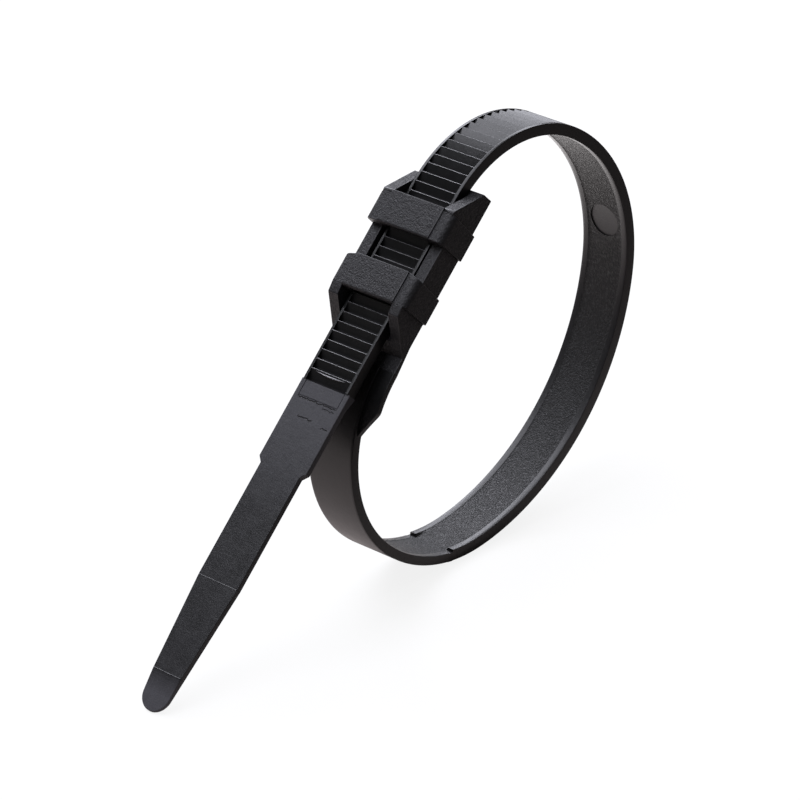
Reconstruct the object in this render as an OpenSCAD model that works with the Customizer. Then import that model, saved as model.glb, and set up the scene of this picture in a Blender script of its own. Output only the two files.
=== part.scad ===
// Double-locking cable tie, closed into a loop, moulded in one piece.
// The outline is drawn flat: X runs along the head from the tail towards the loop,
// Y points out of the loop, Z runs across the strap's width. Y = 0 is the level of
// the tooth crests in the head. At the end the tie is stood up on the bottom of its
// loop and the tip of its tail. All sizes are in millimetres.

/* [Strap] */
// Width of the strap
strap_w = 9; // [7:0.1:12]
// Thickness of the toothed strap over its edge bands
strap_t = 1.85; // [1.6:0.05:2.4]
// Thickness of the plain stretch over its edge bands
plain_t = 1.5; // [1.3:0.05:1.6]
// Width of the inner edge bands
band_w = 1.05; // [0.5:0.05:1.5]
// Height of the inner edge bands over the inner floor
band_h = 0.1; // [0.05:0.05:0.3]
// Chamfer on the strap's long edges
edge_c = 0.12; // [0.05:0.01:0.2]

/* [Teeth] */
// Distance from crest to crest, along the middle of the strap
tooth_pitch = 1.6; // [1.3:0.05:2.2]
// Depth of the tooth gaps
tooth_depth = 0.7; // [0.4:0.05:0.8]
// Flat left on each crest
crest_l = 0.1; // [0.05:0.01:0.2]
// Smooth rim left beside the teeth
rim_w = 0.5; // [0.3:0.05:0.9]

/* [Loop] */
// Radius of the loop opposite the head
far_r = 40.9; // [39:0.1:44]
// Radius of the stretch that leads from the entry to the far side
rise_r = 27.55; // [26:0.05:29]
// Radius of the stretch that leads from the far side to the neck
fall_r = 25.55; // [24.5:0.05:28]
// Distance along the head at which the strap starts to bend
entry_x = 31.3; // [30.5:0.1:33]
// Distance along the head at which the neck starts to bend
neck_x = 4.5; // [3.5:0.1:5]
// Depth of the neck's outer face under the crests
neck_drop = 3.4; // [3.2:0.05:3.7]

/* [Neck flange] */
// Angle over which the neck stays as wide as the head
flange_a = 18; // [14:1:20]
// Angle at which the neck has narrowed to the strap
taper_a = 30; // [27:1:34]
// Step from the strap's outer face down to the flange
flange_step = 0.55; // [0.3:0.05:0.7]

/* [Head] */
// Width across the rails
head_w = 14.2; // [13.6:0.1:18]
// How far the bridges stand out sideways past the rails
pad_h = 0.5; // [0.3:0.05:0.8]
// Distance along the head to its far end
head_x = 34; // [33.6:0.1:37]
// Depth of the head's inner face under the crests
seat_depth = 4.35; // [4.2:0.05:4.8]
// Height of the rails over the crests
rail_h = 0.35; // [0.1:0.05:0.6]
// Height of the bridge plates over the crests
plate_h = 2.15; // [2:0.05:2.6]
// Step from the plate down to the bridge's shoulder
shoulder_step = 0.2; // [0.1:0.05:0.4]
// Rounding of the bridge's shoulder
shoulder_r = 1; // [0.6:0.1:1.4]
// Width of the bridge plates
plate_w = 10.4; // [9.6:0.1:11.5]
// Length of each bridge
bridge_l = 5.3; // [4.8:0.1:5.4]
// Start of the bridge beside the exit
exit_bridge_x = 12.9; // [12.6:0.1:13.1]
// Start of the bridge beside the entry
entry_bridge_x = 23.75; // [23.6:0.05:24]
// Length of the pads at the sides of the bridges
pad_l = 4.6; // [4:0.1:4.7]
// How much shorter the pads are at the bottom
pad_taper = 0.3; // [0.1:0.1:0.8]
// Room under the strap in the channel
channel_gap = 0.2; // [0.1:0.05:0.4]
// Room beside the strap and the tail in the channel
side_gap = 0.25; // [0.15:0.05:0.5]
// Room between the crests and the bridges
bridge_gap = 0.3; // [0.2:0.05:0.4]
// Length of the walls in front of the exit bridge
exit_lip = 1.6; // [1:0.1:2]
// Drop of those walls from the bridge's shoulder
exit_drop = 0.3; // [0.1:0.1:0.6]
// Run of the slope at the exit
exit_run = 4.4; // [4:0.1:4.8]
// Run of the slope at the entry
end_run = 5; // [4:0.1:5.2]
// Height of the square end under the entry slope
end_h = 2.1; // [1.6:0.1:2.6]

/* [Pawls] */
// Thickness of each pawl under its bridge
pawl_t = 0.65; // [0.5:0.05:0.8]
// Free space over and beside each pawl
pawl_gap = 0.3; // [0.2:0.05:0.4]
// Length of the root that holds each pawl
pawl_root = 1.1; // [0.8:0.1:1.6]
// Teeth on each pawl
pawl_teeth = 2; // [1:1:2]
// Play between the pawl's teeth and the strap's
mesh_gap = 0.08; // [0.05:0.01:0.15]

/* [Tail] */
// Length of the tail, from the last crest to the tip
tail_l = 55.7; // [50:0.1:70]
// Width of the tail's first stretch
grip_w = 9.7; // [9.2:0.1:9.8]
// Length of the tail's first stretch
grip_l = 15; // [12:0.1:20]
// Width of the tail after the step
tail_w = 8; // [7:0.1:9]
// Length of the step between the two widths
step_l = 0.9; // [0.5:0.1:2]
// Distance from the last crest at which the tail starts to taper
taper_x = 34.5; // [30:0.1:44]
// Radius of the tip, seen from outside
tip_r = 2.65; // [2:0.05:3.5]
// Thickness of the tail
tail_t = 0.9; // [0.7:0.05:1.2]
// Depth of the tail's outer face under the crests
tail_drop = 0.2; // [0.1:0.05:0.5]
// Length of the bevel at the tip
bevel_l = 5.7; // [3:0.1:8]
// Thickness left at the end of the tip
tip_t = 0.45; // [0.3:0.05:0.6]
// Length of the first, longer tooth gap beside the tail
lead_l = 1.8; // [1.6:0.1:2.6]
// Length of the slope under the tail's first stretch
under_l = 2.5; // [1.5:0.1:4]

/* [Moulding marks] */
// Diameter of the round mark on the inner floor
mark_d = 5.5; // [4:0.1:6.5]
// Depth of the round mark
mark_h = 0.2; // [0.05:0.01:0.3]
// Turn of the loop, from the entry, at which the round mark sits
mark_a = 127; // [100:1:140]
// Length of the break in the edge bands where the teeth stop
notch_l = 1; // [0.6:0.1:2]

/* [Hidden] */
$fn = 96;
// How far cutters reach past what they cut
over = 1;
// How far a tooth's slope runs past the crest, so that it is cut clean
crest_over = 0.01;
toothed_w = strap_w - 2 * rim_w;
// The channel lets the widest part that goes through it pass
channel_w = max(strap_w, grip_w) + 2 * side_gap;
channel_depth = strap_t + channel_gap;
shoulder_h = plate_h - shoulder_step;
bridge_w = head_w + 2 * pad_h;
// Run of the slope from the neck down to the head's inner face
heel_run = 4.5;
// The middle of the strap keeps its length when the strap is bent
mid_t = strap_t / 2;
// Depths of the inner floor under the outer face, behind the teeth and on the plain stretch
floor_t = strap_t - band_h;
plain_floor_t = plain_t - band_h;

// Directions from the arcs' centres to the joints between the loop's five arcs, on the
// sides of right triangles with whole sides, so that neighbouring arcs meet exactly
JOINTS = [[0, 1], [0.96, 0.28], [0.6, -0.8], [-0.6, -0.8], [-1, 0], [0, 1]];
ARCS = len(JOINTS) - 1;
// Arc that touches the floor, and the direction on it at which the teeth stop
low_arc = 3;
teeth_end = [-0.8, -0.6];
// Turn of the strap, clockwise from the head's direction, towards a direction
function turn_to(d) = (atan2(d[0], d[1]) + 360) % 360;
turns = [for (i = [0 : ARCS]) i == ARCS ? 360 : turn_to(JOINTS[i])];
toothed_a = turn_to(teeth_end);
// Direction on the neck's arc, past the place where the flange has narrowed to the strap
flange_from = [-0.6, 0.8];
// What the two bends beside the head have to make up, so that the loop closes
function unit_shift(i) = JOINTS[i + 1] - JOINTS[i];
rest_shift = [neck_x - entry_x, -neck_drop] - rise_r * unit_shift(1) - far_r * unit_shift(2) - fall_r * unit_shift(3);
shift_det = unit_shift(0)[0] * unit_shift(4)[1] - unit_shift(4)[0] * unit_shift(0)[1];
// Radii are kept to a hundredth of a millimetre
function hundredth(v) = round(v * 100) / 100;
entry_r = hundredth((rest_shift[0] * unit_shift(4)[1] - unit_shift(4)[0] * rest_shift[1]) / shift_det);
neck_r = hundredth((unit_shift(0)[0] * rest_shift[1] - rest_shift[0] * unit_shift(0)[1]) / shift_det);
radii = [entry_r, rise_r, far_r, fall_r, neck_r];

// Centre of each arc of the outer face
function arc_centre(i) =
    i == 0 ? [entry_x, -entry_r] : arc_centre(i - 1) + (radii[i - 1] - radii[i]) * JOINTS[i];
// Where the neck's outer face meets the head
neck_end = arc_centre(ARCS - 1) + [0, neck_r];
// Arc that holds a turn
function arc_at(a, i = 0) = i >= ARCS - 1 || a <= turns[i + 1] ? i : arc_at(a, i + 1);
// Point at a turn, a depth below the outer face
function loop_point(a, depth) = arc_centre(arc_at(a)) + (radii[arc_at(a)] - depth) * [sin(a), cos(a)];

// Length of an arc along the middle of the strap
function arc_length(i, a) = (radii[i] - mid_t) * a * PI / 180;
// Turn at a length past the entry
function turn_at(s, i = 0) =
    i >= ARCS - 1 || s <= arc_length(i, turns[i + 1] - turns[i])
        ? turns[i] + s / ((radii[i] - mid_t) * PI / 180)
        : turn_at(s - arc_length(i, turns[i + 1] - turns[i]), i + 1);
// Length past the entry at a turn
function length_at(a, i = 0) =
    a <= turns[i + 1]
        ? arc_length(i, a - turns[i])
        : arc_length(i, turns[i + 1] - turns[i]) + length_at(a, i + 1);
// Point a length past the last crest, a depth below the outer face
function strap_point(s, depth) = s <= entry_x ? [s, -depth] : loop_point(turn_at(s - entry_x), depth);
tooth_count = floor((entry_x + length_at(toothed_a)) / tooth_pitch) - 1;

// Lean of the head at which the tail's tip and the loop both touch the floor
tip_point = [-tail_l, -tail_drop - tail_t];
low_span = arc_centre(low_arc) - tip_point;
lean = atan2(low_span[0], low_span[1]) - acos(radii[low_arc] / norm(low_span));
// Height of the lowest point of the loop, and the two ends of the tie along the floor
floor_z = arc_centre(low_arc)[0] * sin(lean) + arc_centre(low_arc)[1] * cos(lean) - radii[low_arc];
far_point = loop_point(90 + lean, 0);
far_end = far_point[0] * cos(lean) - far_point[1] * sin(lean);
tip_top = tip_point + [0, tip_t];
tip_end = tip_top[0] * cos(lean) - tip_top[1] * sin(lean);

// Cross-sections of the strap, X below the outer face and Y across its width
module band_section(thick) {
    // thick is the thickness over the inner edge bands
    half = strap_w / 2;
    polygon([
        [0, edge_c - half], [0, half - edge_c],
        [-edge_c, half], [edge_c - thick, half],
        [-thick, half - edge_c], [-thick, half - band_w],
        [band_h - thick, half - band_w], [band_h - thick, band_w - half],
        [-thick, band_w - half], [-thick, edge_c - half],
        [edge_c - thick, -half], [-edge_c, -half]
    ]);
}

module toothed_section() {
    band_section(strap_t);
}

module plain_section() {
    band_section(plain_t);
}

// Section of the flange beside the neck, on the inner side of the strap
module flange_section() {
    translate([-plain_t, -head_w / 2])
        square([plain_t - flange_step, head_w]);
}

// Sweeps a section right round the centre of arc i
module round_arc(i) {
    translate(arc_centre(i))
        rotate_extrude()
            translate([radii[i], 0])
                children();
}

// Keeps what lies between two directions from the centre of arc i
module between(i, from_d, to_d) {
    reach = 2 * radii[i];
    intersection() {
        children();
        translate(arc_centre(i))
            across(head_w + over)
                polygon([[0, 0], reach * from_d, reach * (from_d + to_d), reach * to_d]);
    }
}

// Sweeps a section straight along the head
module along_head(from_x, to_x) {
    translate([from_x, 0, 0])
        rotate([90, 0, 90])
            linear_extrude(to_x - from_x)
                children();
}

// Gives an outline in X and Y a width across the strap
module across(width) {
    translate([0, 0, -width / 2])
        linear_extrude(width)
            children();
}

// Comb of wedges that leaves a saw-tooth in the outer face: each gap drops square
// behind a crest and rises evenly to the next one
module tooth_cutter() {
    comb = [
        for (k = [0 : tooth_count - 1], j = [0 : 3])
            let (
                s = j < 2 ? k * tooth_pitch + crest_l : (k + 1) * tooth_pitch,
                depth = j == 1 ? tooth_depth : j == 2 ? -crest_over : -over
            )
            strap_point(s, depth)
    ];
    back = [
        for (k = [tooth_count : -1 : 0])
            strap_point(k * tooth_pitch + crest_l, -2 * over)
    ];
    across(toothed_w)
        polygon(concat(comb, back));
    // The first gap, beside the tail, is longer
    across(toothed_w)
        polygon([[-lead_l, over], [-lead_l, -tooth_depth], [0, crest_over], [0, over]]);
}

// Breaks in the inner edge bands where the teeth stop
module band_notch() {
    at = loop_point(toothed_a, plain_floor_t);
    for (side = [-1, 1])
        translate([at[0], at[1], side * (strap_w - band_w) / 2])
            rotate([0, 0, -toothed_a])
                translate([0, -over / 2, 0])
                    cube([notch_l, over, band_w + edge_c], center = true);
}

// Cutter for the round mark, a shallow recess that follows the inner floor
module round_mark() {
    at = loop_point(mark_a, floor_t);
    intersection() {
        translate([at[0], at[1], 0])
            rotate([90, 0, -mark_a])
                cylinder(d = mark_d, h = 2 * over, center = true);
        round_arc(arc_at(mark_a))
            translate([-floor_t - mark_h, -mark_d / 2 - over])
                square([2 * mark_h, mark_d + 2 * over]);
    }
}

// The strap: the stretch in the head, the loop and the plain stretch down to the neck
module strap() {
    difference() {
        union() {
            along_head(-lead_l, entry_x) toothed_section();
            for (i = [0 : low_arc])
                between(i, JOINTS[i], i == low_arc ? teeth_end : JOINTS[i + 1])
                    round_arc(i) toothed_section();
            for (i = [low_arc : ARCS - 1])
                between(i, i == low_arc ? teeth_end : JOINTS[i], JOINTS[i + 1])
                    round_arc(i) plain_section();
        }
        tooth_cutter();
        band_notch();
        round_mark();
    }
}

// The tail: a wide first stretch, a step, and a long taper to a round tip
module tail() {
    end_x = tip_r - tail_l;
    intersection() {
        rotate([90, 0, 0])
            translate([0, 0, -strap_t])
                linear_extrude(2 * strap_t + over) {
                    polygon([
                        [-lead_l, grip_w / 2], [-grip_l, grip_w / 2],
                        [-grip_l - step_l, tail_w / 2], [-taper_x, tail_w / 2],
                        [end_x, tip_r], [end_x, -tip_r],
                        [-taper_x, -tail_w / 2], [-grip_l - step_l, -tail_w / 2],
                        [-grip_l, -grip_w / 2], [-lead_l, -grip_w / 2]
                    ]);
                    translate([end_x, 0]) circle(r = tip_r);
                }
        across(grip_w + 2 * over)
            polygon([
                [-lead_l, -tail_drop], [bevel_l - tail_l, -tail_drop],
                [-tail_l, tip_point[1] + tip_t], tip_point,
                [-lead_l - under_l, tip_point[1]], [-lead_l, -strap_t + edge_c]
            ]);
    }
}

// Outline of the head seen from the side, without the middle of the bridges
module head_outline() {
    foot_y = neck_end[1] - flange_step;
    exit_x = exit_bridge_x - exit_lip;
    entry_x_top = head_x - end_run;
    polygon([
        neck_end - [0, plain_t], [neck_end[0], foot_y],
        [exit_x - exit_run, foot_y], [exit_x, shoulder_h - exit_drop],
        [exit_bridge_x, shoulder_h], [exit_bridge_x + pad_l, shoulder_h],
        [exit_bridge_x + pad_l, rail_h], [entry_bridge_x, rail_h],
        [entry_bridge_x, shoulder_h], [entry_x_top, shoulder_h],
        [head_x, end_h - seat_depth], [head_x, -seat_depth],
        [neck_end[0] + heel_run, -seat_depth]
    ]);
}

// Section of a bridge: plate in the middle, rounded shoulders, pads down both sides
module bridge_section() {
    half = bridge_w / 2;
    translate([-seat_depth, -half])
        square([seat_depth + shoulder_h - shoulder_r, bridge_w]);
    translate([-seat_depth, shoulder_r - half])
        square([seat_depth + shoulder_h, bridge_w - 2 * shoulder_r]);
    for (side = [-1, 1])
        translate([shoulder_h - shoulder_r, side * (half - shoulder_r)])
            circle(r = shoulder_r);
    translate([-seat_depth, -plate_w / 2])
        square([seat_depth + plate_h, plate_w]);
}

module bridge(x) {
    half = bridge_w / 2;
    intersection() {
        along_head(x, x + bridge_l) bridge_section();
        // The corners towards the entry are cut off slantwise
        rotate([90, 0, 0])
            translate([0, 0, -plate_h - over])
                linear_extrude(plate_h + seat_depth + 2 * over)
                    polygon([
                        [x, -half], [x + pad_l, -half], [x + bridge_l, -plate_w / 2],
                        [x + bridge_l, plate_w / 2], [x + pad_l, half], [x, half]
                    ]);
        across(bridge_w + over)
            polygon([
                [x, plate_h - edge_c], [x + edge_c, plate_h],
                [x + bridge_l, plate_h], [x + bridge_l, rail_h],
                [x + pad_l, rail_h], [x + pad_l - pad_taper, -seat_depth], [x, -seat_depth]
            ]);
    }
}

// Space around the pawl under a bridge
module pawl_space(x) {
    top = bridge_gap + pawl_t + pawl_gap;
    free_w = strap_w - 2 * pawl_gap;
    difference() {
        translate([x - over, 0, -free_w / 2])
            cube([bridge_l - pawl_root + over, top, free_w]);
        translate([x + pawl_gap, bridge_gap, -free_w / 2 + pawl_gap])
            cube([bridge_l, pawl_t, free_w - 2 * pawl_gap]);
    }
}

// Teeth under a pawl, in the strap's tooth gaps
module pawl_comb(x) {
    first = ceil((x + pawl_gap - crest_l) / tooth_pitch);
    reach = tooth_depth - mesh_gap;
    slope = tooth_depth / (tooth_pitch - crest_l);
    for (k = [first : first + pawl_teeth - 1]) {
        face_x = k * tooth_pitch + crest_l + mesh_gap;
        across(toothed_w - 2 * pawl_gap)
            polygon([
                [face_x, -reach], [face_x, bridge_gap + pawl_t / 2],
                [face_x + (reach + bridge_gap) / slope, bridge_gap + pawl_t / 2],
                [face_x + (reach + bridge_gap) / slope, bridge_gap]
            ]);
    }
}

// The head: base, rails and two bridges over the channel, a pawl under each bridge
module head() {
    difference() {
        union() {
            across(head_w) head_outline();
            bridge(exit_bridge_x);
            bridge(entry_bridge_x);
        }
        // Channel under the bridges
        translate([-over, -channel_depth, -channel_w / 2])
            cube([head_x + 2 * over, channel_depth + bridge_gap, channel_w]);
        // The same channel, open on top, at the window and at both ends
        for (span = [[0, exit_bridge_x], [exit_bridge_x + bridge_l, entry_bridge_x], [entry_bridge_x + bridge_l, head_x + over]])
            translate([span[0], -channel_depth, -channel_w / 2])
                cube([span[1] - span[0], channel_depth + plate_h + over, channel_w]);
        pawl_space(exit_bridge_x);
        pawl_space(entry_bridge_x);
    }
    pawl_comb(exit_bridge_x);
    pawl_comb(entry_bridge_x);
}

// The neck: a flange as wide as the head, narrowing to the strap
module neck() {
    wide_x = neck_end[0] - neck_r * sin(flange_a);
    slim_x = neck_end[0] - neck_r * sin(taper_a);
    slim_w = strap_w - 2 * edge_c;
    intersection() {
        between(ARCS - 1, flange_from, JOINTS[ARCS])
            round_arc(ARCS - 1) flange_section();
        rotate([90, 0, 0])
            linear_extrude(2 * neck_r)
                polygon([
                    [neck_end[0], head_w / 2], [wide_x, head_w / 2], [slim_x, slim_w / 2],
                    [slim_x, -slim_w / 2], [wide_x, -head_w / 2], [neck_end[0], -head_w / 2]
                ]);
    }
}

// The whole tie, stood up with its origin under the middle of its length
module cable_tie() {
    color([0.16, 0.16, 0.17])
        translate([-(far_end + tip_end) / 2, 0, -floor_z])
            rotate([0, -lean, 0])
                rotate([90, 0, 0]) {
                    strap();
                    tail();
                    neck();
                    head();
                }
}

cable_tie();
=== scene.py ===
"""A black nylon cable tie, closed into a loop: toothed strap, double locking head and long tail."""

from functools import wraps
from math import acos, atan2, cos, pi, radians, sin
import bmesh
import bpy
from bpy.props import FloatProperty, FloatVectorProperty, IntProperty, PointerProperty
from bpy.types import Operator, Panel, PropertyGroup
from mathutils import Matrix, Vector


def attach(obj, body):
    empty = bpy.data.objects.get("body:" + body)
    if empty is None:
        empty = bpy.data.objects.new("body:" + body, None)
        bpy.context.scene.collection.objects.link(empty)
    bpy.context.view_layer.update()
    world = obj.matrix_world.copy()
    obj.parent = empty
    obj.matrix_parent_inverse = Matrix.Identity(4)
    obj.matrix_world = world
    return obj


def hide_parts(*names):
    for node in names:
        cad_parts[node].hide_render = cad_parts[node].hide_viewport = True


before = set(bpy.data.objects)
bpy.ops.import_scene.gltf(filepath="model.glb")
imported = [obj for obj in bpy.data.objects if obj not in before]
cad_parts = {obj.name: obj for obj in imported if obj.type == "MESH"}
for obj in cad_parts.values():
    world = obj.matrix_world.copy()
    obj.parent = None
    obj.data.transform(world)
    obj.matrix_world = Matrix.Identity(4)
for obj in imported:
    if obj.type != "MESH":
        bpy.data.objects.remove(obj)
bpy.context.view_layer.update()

bl_info = {
    "name": "Cable tie",
    "version": (1, 0, 0),
    "blender": (4, 5, 0),
    "location": "3D View > Sidebar > Cable tie",
    "description": "Models a looped nylon cable tie with a toothed strap and a double locking head",
    "category": "Object",
}

NODE = "cable_tie"
BODY = "root"

X, Y, Z = 0, 1, 2
# Two points nearer than this are one, in millimetres
NEAR = 1e-4


# Sizes

def length(name, description, default_mm):
    """A length property, given in millimetres and kept in metres."""
    return FloatProperty(
        name=name, description=description, default=default_mm / 1000, min=0.0,
        unit="LENGTH", subtype="DISTANCE", precision=4,
    )


def angle(name, description, degrees):
    """An angle property, given in degrees."""
    return FloatProperty(
        name=name, description=description, default=radians(degrees),
        unit="ROTATION", subtype="ANGLE",
    )


def amount(name, description, default, high=1.0):
    """A property for a share or a strength."""
    return FloatProperty(name=name, description=description, default=default, min=0.0, max=high)


def paint(name, description, *default):
    """A colour property, given as red, green and blue."""
    return FloatVectorProperty(
        name=name, description=description, default=default,
        subtype="COLOR", min=0, max=1,
    )


class TieStrap(PropertyGroup):
    """Sizes of the strap, its teeth, its inner face and the bead."""

    width: length("Width", "Width of the strap", 9)
    thickness: length("Thickness", "Thickness over the inner edge bands", 1.85)
    plain: length("Plain thickness", "Thickness of the plain stretch over its edge bands", 1.5)
    band: length("Band", "Width of an inner edge band", 1.05)
    band_height: length("Band height", "Height of an edge band over the inner floor", 0.1)
    band_slope: length("Band slope", "Width of the slope from an edge band down to the inner floor", 0.3)
    rim: length("Rim", "Width of the smooth rim beside the teeth", 0.5)
    pitch: length("Tooth pitch", "Distance from one crest to the next", 1.6)
    depth: length("Tooth depth", "Depth of the gap behind a crest", 0.7)
    crest: length("Crest", "Length of the flat on a crest", 0.1)
    crest_round: length("Crest rounding", "Rounding of the brow of a crest", 0.1)
    lead: length("First gap", "Length of the gap beside the tail", 1.8)
    edge: length("Edge", "Rounding of the long edges", 0.12)
    teeth: IntProperty(name="Teeth", description="Number of teeth along the strap", default=91, min=1)
    teeth_end: length("Teeth end", "Length from the last crest to where the edge bands break", 148.758)
    notch: length("Band break", "Length of the break in the edge bands", 1)
    bead: length("Bead", "Length of the bead across the first gap", 6.2)
    bead_width: length("Bead width", "Width of the bead across the first gap", 0.3)
    bead_inset: length("Bead inset", "Distance from the last crest to the bead's foot", 0.22)
    bead_sink: length("Bead sink", "Depth of the bead's foot below the crests", 0.09)
    mark: length("Mark", "Diameter of the round moulding mark", 5.5)
    mark_depth: length("Mark depth", "Depth of the moulding mark in the inner floor", 0.2)
    mark_turn: angle("Mark turn", "Place of the moulding mark round the loop", 127)


class TieHead(PropertyGroup):
    """Sizes of the head's base, bridges and pawls."""

    width: length("Width", "Width of the base", 14.2)
    length: length("Length", "Distance from the last crest to the entry", 34)
    depth: length("Depth", "Depth of the base below the strap's outer face", 4.35)
    rail: length("Rail", "Height of the rails beside the window", 0.35)
    underside: length("Underside", "Distance from the last crest to where the base's underside is level", 9)
    exit_foot: length("Exit foot", "Distance from the last crest to the foot of the exit's walls", 6.9)
    exit_lip: length("Exit lip", "Length of the exit's walls level with the bridge", 1.6)
    lip_drop: length("Lip drop", "How far the exit's walls end below the shoulders", 0.3)
    entry_run: length("Entry run", "Length of the slope at the entry", 5)
    heel: length("Heel", "Depth of the foot of the entry's slope below the crests", 2.25)
    shoulder: length("Shoulder", "Height of the shoulders beside a plate", 1.95)
    shoulder_round: length("Shoulder rounding", "Radius of the outer edge of a shoulder", 1)
    plate: length("Plate height", "Height of a plate", 2.15)
    plate_width: length("Plate width", "Width of a plate", 10.4)
    plate_round: length("Plate rounding", "Rounding of the plate's edge towards the exit", 0.35)
    bridge: length("Bridge", "Length of a bridge", 5.3)
    exit_bridge: length("Exit bridge", "Distance from the last crest to the exit bridge", 12.9)
    entry_bridge: length("Entry bridge", "Distance from the last crest to the entry bridge", 23.75)
    pad: length("Pad", "Height of a pad over the side of the base", 0.5)
    pad_length: length("Pad length", "Length of a pad", 4.6)
    pad_taper: length("Pad taper", "How much shorter a pad is at its foot", 0.3)
    buried: length("Buried", "How far a pad and a wall reach into their neighbours", 0.1)
    channel: length("Channel", "Width of the channel", 10.2)
    channel_depth: length("Channel depth", "Depth of the channel", 2.05)
    gap: length("Gap", "Gap between the strap and a bridge", 0.3)
    pawl: length("Pawl", "Thickness of a pawl", 0.65)
    pawl_root: length("Pawl root", "Length of the solid root of a pawl", 1.1)
    pawl_play: length("Pawl play", "Gap between a pawl's teeth and the strap's", 0.08)
    pawl_edge: length("Pawl edge", "Rounding of a pawl's free end", 0.06)
    edge: length("Edge", "Rounding of the edges", 0.12)


class TieTail(PropertyGroup):
    """Sizes of the tail."""

    length: length("Length", "Distance from the last crest to the tip", 55.7)
    grip_width: length("Grip width", "Width of the first stretch", 9.7)
    grip_length: length("Grip length", "Distance from the last crest to the end of the first stretch", 15)
    width: length("Width", "Width behind the step", 8)
    step: length("Step", "Length of the step", 0.9)
    taper: length("Taper start", "Distance from the last crest to where the taper starts", 34.5)
    tip: length("Tip radius", "Radius of the tip", 2.65)
    thickness: length("Thickness", "Thickness of the tail", 0.9)
    drop: length("Drop", "How far the tail lies below the crests", 0.2)
    bevel: length("Tip bevel", "Length of the bevel on the tip", 5.7)
    tip_thickness: length("Tip thickness", "Thickness at the very tip", 0.45)
    under: length("Under slope", "Length of the slope on the underside beside the strap", 2.5)
    edge: length("Edge", "Chamfer of the long edges", 0.14)
    panel: length("Panel", "Distance from the last crest to the end of the panel beside the teeth", 4.4)
    groove: length("Groove", "Width of the groove round the panel", 0.07)
    groove_depth: length("Groove depth", "Depth of the groove round the panel", 0.12)
    panel_rise: length("Panel rise", "Height of the panel over its groove", 0.1)
    ridge: length("Ridge", "Half the width of a fine ridge across the tail", 0.07)
    ridge_height: length("Ridge height", "Height of a fine ridge across the tail", 0.05)


class TieFinish(PropertyGroup):
    """Colours of the nylon and the size of its grain."""

    smooth: paint("Smooth nylon", "Colour of the smooth moulded faces", 0.006, 0.006, 0.0064)
    grained: paint("Grained nylon", "Colour of the grained faces of the head", 0.014, 0.0135, 0.016)
    frosted: paint("Frosted nylon", "Colour of the coarse inner floor of the strap", 0.013, 0.0125, 0.0135)
    # Painted highlight: this light colour brightens the crests' highlight lines and the bead's glint, over
    # some whitening by flexing
    crest: paint("Crest nylon", "Colour of the whitened crests and of the bead", 0.16, 0.156, 0.165)
    tail: paint("Tail nylon", "Colour of the flat faces of the tail", 0.014, 0.0138, 0.016)
    grain: length("Grain", "Size of the moulded grain", 0.3)


class TieStudio(PropertyGroup):
    """Camera, floor and room light."""

    distance: length("Camera distance", "Distance from the camera to the point it looks at", 700)
    azimuth: angle("Azimuth", "Turn of the camera round the tie", -44.956)
    elevation: angle("Elevation", "Height of the camera as an angle", 27.507)
    roll: angle("Roll", "Turn of the camera about its own axis", -3.087)
    lens: FloatProperty(name="Lens", description="Focal length in millimetres", default=211.393, min=1)
    floor: paint("Floor", "Colour of the floor in the light of the scene", 0.18, 0.18, 0.18)
    bounce: paint("Bounce", "Colour of the floor as the tie reflects it", 0.82, 0.725, 0.67)
    front_shade: amount("Front shade", "Share of its light that the floor in front of the tie gets", 0.21)
    back_glow: amount("Back glow", "Brightness of the floor behind the tie, as the tie reflects it", 3.8, 10)
    room: amount("Room light", "Strength of the light from the room", 0.085)


# The loop that the strap is bent to

# Directions from the centres of the loop's five arcs to where they meet, along the head and outwards
JOINTS = ((0, 1), (0.96, 0.28), (0.6, -0.8), (-0.6, -0.8), (-1, 0), (0, 1))
# Radii of the arcs to the strap's outer face, and the number of the arc that rests on the floor
RADII = (21.73, 27.55, 40.9, 25.55, 21.56)
LOW_ARC = 3
# Where the loop leaves the head, and where its far end meets the neck
ENTRY = 31.3
NECK = (4.5028, -3.3996)
# How far the flange of the neck lies below the strap's outer face
FLANGE_STEP = 0.55
# Where the flange starts to narrow and where it is as slim as the strap, in degrees of the neck's arc
FLANGE_TURNS = (18, 30)


def mm(value):
    """Millimetres of a length kept in metres."""
    return value * 1000


def turn_of(direction):
    """Turn of a direction, clockwise from outwards, in radians."""
    return atan2(direction[0], direction[1]) % (2 * pi)


class Loop:
    """The bent strap seen from the side, along the head and outwards, in millimetres."""

    def __init__(self, middle):
        self.middle = middle
        self.turns = [turn_of(j) for j in JOINTS[:-1]] + [2 * pi]
        self.centres = [Vector((ENTRY, -RADII[0]))]
        for i in range(1, len(RADII)):
            self.centres.append(self.centres[-1] + (RADII[i - 1] - RADII[i]) * Vector(JOINTS[i]))
        self.starts = [ENTRY]
        for i, radius in enumerate(RADII):
            arc = (radius - middle) * (self.turns[i + 1] - self.turns[i])
            self.starts.append(self.starts[-1] + arc)

    def arc_of(self, bounds, place):
        """Number of the arc that a place lies on, by where the arcs start."""
        return max(k for k in range(len(RADII)) if k == 0 or bounds[k] < place)

    def at_turn(self, turn, out, arc=None):
        """Point at a turn, a height over the outer face."""
        if arc is None:
            arc = self.arc_of(self.turns, turn)
        return self.centres[arc] + (RADII[arc] + out) * Vector((sin(turn), cos(turn)))

    def length_at(self, turn):
        """Length of strap from the last crest to a turn."""
        arc = self.arc_of(self.turns, turn)
        return self.starts[arc] + (RADII[arc] - self.middle) * (turn - self.turns[arc])

    def point(self, along, out):
        """Point a length of strap past the last crest, a height over the outer face."""
        if along <= ENTRY:
            return Vector((along, out))
        arc = self.arc_of(self.starts, along)
        turn = self.turns[arc] + (along - self.starts[arc]) / (RADII[arc] - self.middle)
        return self.at_turn(turn, out, arc)


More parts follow.
